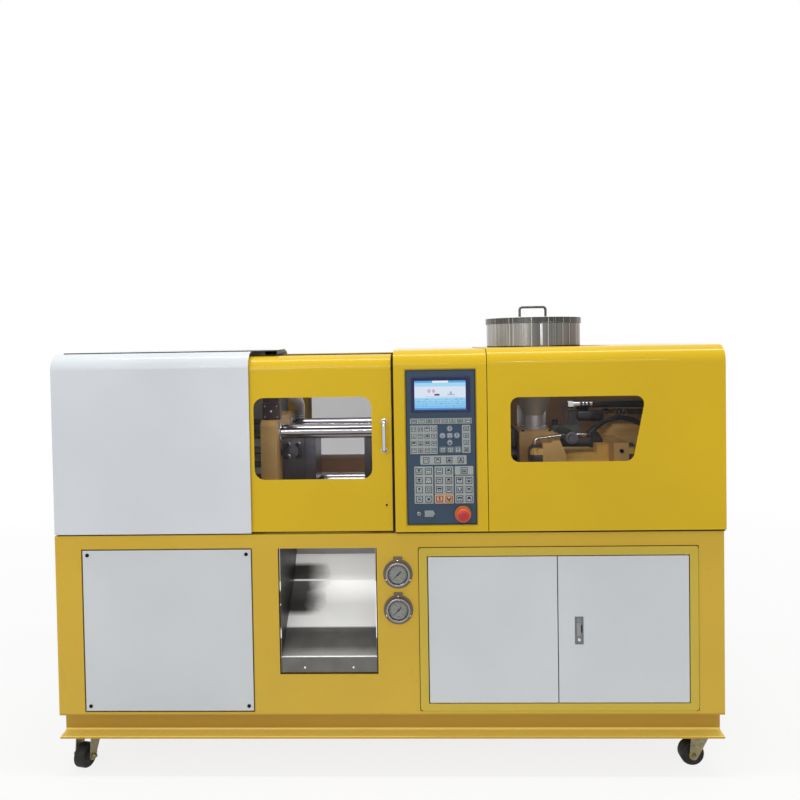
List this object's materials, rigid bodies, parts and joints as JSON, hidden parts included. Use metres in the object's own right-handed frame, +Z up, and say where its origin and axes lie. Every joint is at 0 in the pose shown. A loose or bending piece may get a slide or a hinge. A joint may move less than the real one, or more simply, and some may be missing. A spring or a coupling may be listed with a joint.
{
  "type": "injection molding machine",
  "caption": "Small horizontal injection molding machine on casters: sliding safety door, chute, control column, hopper, platens on tie bars and a sliding injection unit.",
  "frame": {"origin": "bottom centre of the machine's box, on the floor under its middle", "axes": "+X to the right along the machine, from the clamp to the injection unit; +Y from the operator's side to the back; +Z up"},
  "size_m": [1.9458, 0.664, 1.38],
  "materials": {
    "base_paint": "dull ochre paint, a little worn",
    "yellow_paint": "bright mustard yellow, semi-gloss",
    "white_paint": "pale grey-white, semi-gloss",
    "platen_paint": "tan machine enamel",
    "stainless": "stainless sheet",
    "zinc": "zinc-plated and partly painted steel",
    "caster_tyre": "black, matt",
    "chrome": "hard chrome",
    "dark_steel": "dark oiled steel",
    "clear_window": "clear plastic sheet",
    "gauge_grey": "grey bezel",
    "panel_slate": "dark slate foil",
    "display_navy": "navy frame round a lit screen",
    "key_grey": "grey foil keys",
    "stop_red": "red mushroom button",
    "hose_black": "black rubber hose"
  },
  "bodies": {
    "machine": {"plinth": "base_paint", "caster_plates": "zinc", "base_front": "base_paint", "base_back": "base_paint", "base_ends": "base_paint", "base_deck": "base_paint", "base_floor": "base_paint", "access_panel": "white_paint", "chute": "stainless", "pressure_gauges": "gauge_grey", "electrical_box": "yellow_paint", "clamp_cover": "white_paint", "clamp_roof": "zinc", "door_rails": "zinc", "rear_guard": "yellow_paint", "rear_guard_window": "clear_window", "control_column": "yellow_paint", "control_panel": "panel_slate", "display": "display_navy", "control_keys": "key_grey", "injection_cover": "yellow_paint", "injection_window": "clear_window", "fixed_platen": "platen_paint", "tail_platen": "platen_paint", "tie_bars": "chrome", "clamp_cylinder": "dark_steel", "mold_fixed_half": "dark_steel", "injection_rails": "chrome"},
    "safety_door": {"safety_door": "yellow_paint", "safety_door_window": "clear_window", "safety_door_handle": "chrome"},
    "cabinet_door_left": {"cabinet_door_left": "white_paint"},
    "cabinet_door_right": {"cabinet_door_right": "white_paint", "cabinet_latch": "zinc"},
    "moving_platen": {"moving_platen": "platen_paint", "clamp_rod": "chrome", "mold_moving_half": "dark_steel"},
    "injection_carriage": {"feed_block": "platen_paint", "barrel": "dark_steel", "injection_cylinders": "platen_paint", "thrust_plate": "platen_paint", "screw_motor": "dark_steel", "valve_manifold": "dark_steel", "hydraulic_hoses": "hose_black", "steel_pipe": "chrome", "hopper": "stainless"},
    "hopper_lid": {"hopper_lid": "stainless"},
    "emergency_stop": {"emergency_stop": "stop_red"},
    "caster_fork_front_left": {"caster_fork_front_left": "zinc"},
    "caster_wheel_front_left": {"caster_wheel_front_left": "caster_tyre"},
    "caster_fork_front_right": {"caster_fork_front_right": "zinc"},
    "caster_wheel_front_right": {"caster_wheel_front_right": "caster_tyre"},
    "caster_fork_rear_left": {"caster_fork_rear_left": "zinc"},
    "caster_wheel_rear_left": {"caster_wheel_rear_left": "caster_tyre"},
    "caster_fork_rear_right": {"caster_fork_rear_right": "zinc"},
    "caster_wheel_rear_right": {"caster_wheel_rear_right": "caster_tyre"}
  },
  "joints": [
    {"name": "safety_door_slide", "type": "slide", "parent": "machine", "child": "safety_door", "axis": [-1, 0, 0], "range_m": [0, 0.365]},
    {"name": "cabinet_door_left_hinge", "type": "hinge", "parent": "machine", "child": "cabinet_door_left", "pos_m": [0.1295, -0.293, 0.435], "axis": [0, 0, -1], "range_deg": [0, 110]},
    {"name": "cabinet_door_right_hinge", "type": "hinge", "parent": "machine", "child": "cabinet_door_right", "pos_m": [0.861, -0.293, 0.435], "axis": [0, 0, 1], "range_deg": [0, 110]},
    {"name": "moving_platen_slide", "type": "slide", "parent": "machine", "child": "moving_platen", "axis": [1, 0, 0], "range_m": [0, 0.153]},
    {"name": "injection_carriage_slide", "type": "slide", "parent": "machine", "child": "injection_carriage", "axis": [1, 0, 0], "range_m": [0, 0.08]},
    {"name": "hopper_lid_lift", "type": "slide", "parent": "injection_carriage", "child": "hopper_lid", "axis": [0, 0, 1], "range_m": [0, 0.15]},
    {"name": "emergency_stop_push", "type": "slide", "parent": "machine", "child": "emergency_stop", "axis": [0, 1, 0], "range_m": [0, 0.004], "stiffness_N_per_m": 2000},
    {"name": "caster_swivel_front_left", "type": "hinge", "parent": "machine", "child": "caster_fork_front_left", "pos_m": [-0.918, -0.216, 0.096], "axis": [0, 0, 1], "continuous": true},
    {"name": "caster_roll_front_left", "type": "hinge", "parent": "caster_fork_front_left", "child": "caster_wheel_front_left", "pos_m": [-0.92216, -0.23556, 0.035], "axis": [0.9781, -0.2079, 0], "continuous": true},
    {"name": "caster_swivel_front_right", "type": "hinge", "parent": "machine", "child": "caster_fork_front_right", "pos_m": [0.918, -0.216, 0.096], "axis": [0, 0, 1], "continuous": true},
    {"name": "caster_roll_front_right", "type": "hinge", "parent": "caster_fork_front_right", "child": "caster_wheel_front_right", "pos_m": [0.898, -0.216, 0.035], "axis": [0, -1, 0], "continuous": true},
    {"name": "caster_swivel_rear_left", "type": "hinge", "parent": "machine", "child": "caster_fork_rear_left", "pos_m": [-0.918, 0.244, 0.096], "axis": [0, 0, 1], "continuous": true},
    {"name": "caster_roll_rear_left", "type": "hinge", "parent": "caster_fork_rear_left", "child": "caster_wheel_rear_left", "pos_m": [-0.93679, 0.25084, 0.035], "axis": [-0.342, -0.9397, 0], "continuous": true},
    {"name": "caster_swivel_rear_right", "type": "hinge", "parent": "machine", "child": "caster_fork_rear_right", "pos_m": [0.918, 0.244, 0.096], "axis": [0, 0, 1], "continuous": true},
    {"name": "caster_roll_rear_right", "type": "hinge", "parent": "caster_fork_rear_right", "child": "caster_wheel_rear_right", "pos_m": [0.92318, 0.26332, 0.035], "axis": [-0.9659, 0.2588, 0], "continuous": true}
  ]
}
